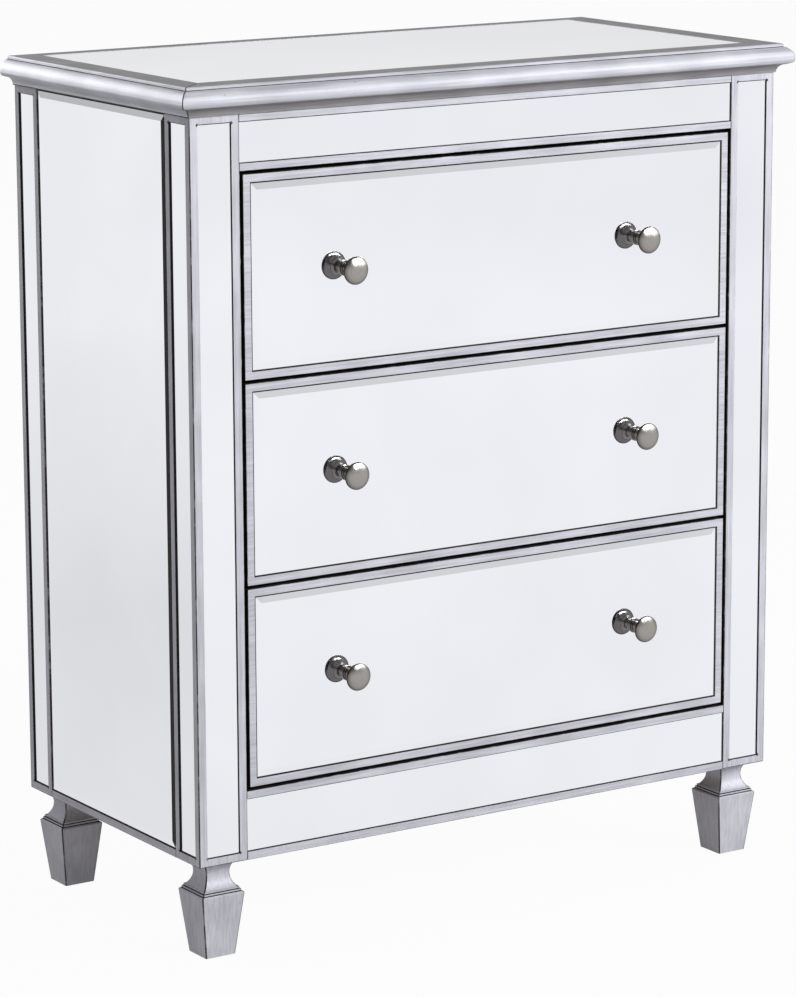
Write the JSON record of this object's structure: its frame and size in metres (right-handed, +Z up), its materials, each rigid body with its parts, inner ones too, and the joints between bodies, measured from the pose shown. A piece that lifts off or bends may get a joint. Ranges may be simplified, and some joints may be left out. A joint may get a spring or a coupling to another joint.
{
  "type": "chest of drawers",
  "caption": "Straight-sided chest of drawers with mirror glass let into silver-painted frames, round knobs, moulded top and tapered feet.",
  "frame": {"origin": "centre of the object's footprint box on the floor", "axes": "+Z up, front of the chest looks along -Y, +X to the viewer's right"},
  "size_m": [0.8132, 0.4168, 0.965],
  "materials": {
    "silver_paint": "antique silver paint on board",
    "mirror_glass": "silvered mirror",
    "brushed_nickel": "brushed nickel",
    "zinc_steel": "zinc plated",
    "drawer_board": "clear lacquered plywood",
    "carcase_board": "raw fibreboard",
    "hardboard": "raw hardboard"
  },
  "bodies": {
    "case": {"apron_mirror": "mirror_glass", "apron_rail": "silver_paint", "back_left_foot": "silver_paint", "back_left_post": "silver_paint", "back_panel": "hardboard", "back_panel_screws": "zinc_steel", "back_right_foot": "silver_paint", "back_right_post": "silver_paint", "bottom_board": "carcase_board", "foot_bolts": "zinc_steel", "frieze_mirror": "mirror_glass", "frieze_rail": "silver_paint", "front_left_foot": "silver_paint", "front_left_post": "silver_paint", "front_post_mirrors": "mirror_glass", "front_right_foot": "silver_paint", "front_right_post": "silver_paint", "left_side_mirror": "mirror_glass", "left_side_panel": "silver_paint", "outer_runners": "zinc_steel", "right_side_mirror": "mirror_glass", "right_side_panel": "silver_paint", "runner_screws": "zinc_steel", "side_post_mirrors": "mirror_glass", "top_back_strip": "silver_paint", "top_board": "silver_paint", "top_front_moulding": "silver_paint", "top_left_moulding": "silver_paint", "top_mirror": "mirror_glass", "top_right_moulding": "silver_paint"},
    "top_drawer": {"top_drawer_back": "drawer_board", "top_drawer_bottom": "hardboard", "top_drawer_front": "silver_paint", "top_drawer_inner_runners": "zinc_steel", "top_drawer_knob_screws": "zinc_steel", "top_drawer_knobs": "brushed_nickel", "top_drawer_left_side": "drawer_board", "top_drawer_mirror": "mirror_glass", "top_drawer_right_side": "drawer_board"},
    "top_drawer_runner_middles": {"top_drawer_mid_runners": "zinc_steel"},
    "middle_drawer": {"middle_drawer_back": "drawer_board", "middle_drawer_bottom": "hardboard", "middle_drawer_front": "silver_paint", "middle_drawer_inner_runners": "zinc_steel", "middle_drawer_knob_screws": "zinc_steel", "middle_drawer_knobs": "brushed_nickel", "middle_drawer_left_side": "drawer_board", "middle_drawer_mirror": "mirror_glass", "middle_drawer_right_side": "drawer_board"},
    "middle_drawer_runner_middles": {"middle_drawer_mid_runners": "zinc_steel"},
    "bottom_drawer": {"bottom_drawer_back": "drawer_board", "bottom_drawer_bottom": "hardboard", "bottom_drawer_front": "silver_paint", "bottom_drawer_inner_runners": "zinc_steel", "bottom_drawer_knob_screws": "zinc_steel", "bottom_drawer_knobs": "brushed_nickel", "bottom_drawer_left_side": "drawer_board", "bottom_drawer_mirror": "mirror_glass", "bottom_drawer_right_side": "drawer_board"},
    "bottom_drawer_runner_middles": {"bottom_drawer_mid_runners": "zinc_steel"}
  },
  "joints": [
    {"name": "top_drawer_slide", "type": "slide", "parent": "case", "child": "top_drawer", "axis": [0, -1, 0], "range_m": [0, 0.3]},
    {"name": "top_drawer_runner_slide", "type": "slide", "parent": "case", "child": "top_drawer_runner_middles", "axis": [0, -1, 0], "range_m": [0, 0.15]},
    {"name": "middle_drawer_slide", "type": "slide", "parent": "case", "child": "middle_drawer", "axis": [0, -1, 0], "range_m": [0, 0.3]},
    {"name": "middle_drawer_runner_slide", "type": "slide", "parent": "case", "child": "middle_drawer_runner_middles", "axis": [0, -1, 0], "range_m": [0, 0.15]},
    {"name": "bottom_drawer_slide", "type": "slide", "parent": "case", "child": "bottom_drawer", "axis": [0, -1, 0], "range_m": [0, 0.3]},
    {"name": "bottom_drawer_runner_slide", "type": "slide", "parent": "case", "child": "bottom_drawer_runner_middles", "axis": [0, -1, 0], "range_m": [0, 0.15]}
  ],
  "couplings": [
    {"joint": "top_drawer_runner_slide", "follows": "top_drawer_slide", "ratio": 0.5},
    {"joint": "middle_drawer_runner_slide", "follows": "middle_drawer_slide", "ratio": 0.5},
    {"joint": "bottom_drawer_runner_slide", "follows": "bottom_drawer_slide", "ratio": 0.5}
  ]
}
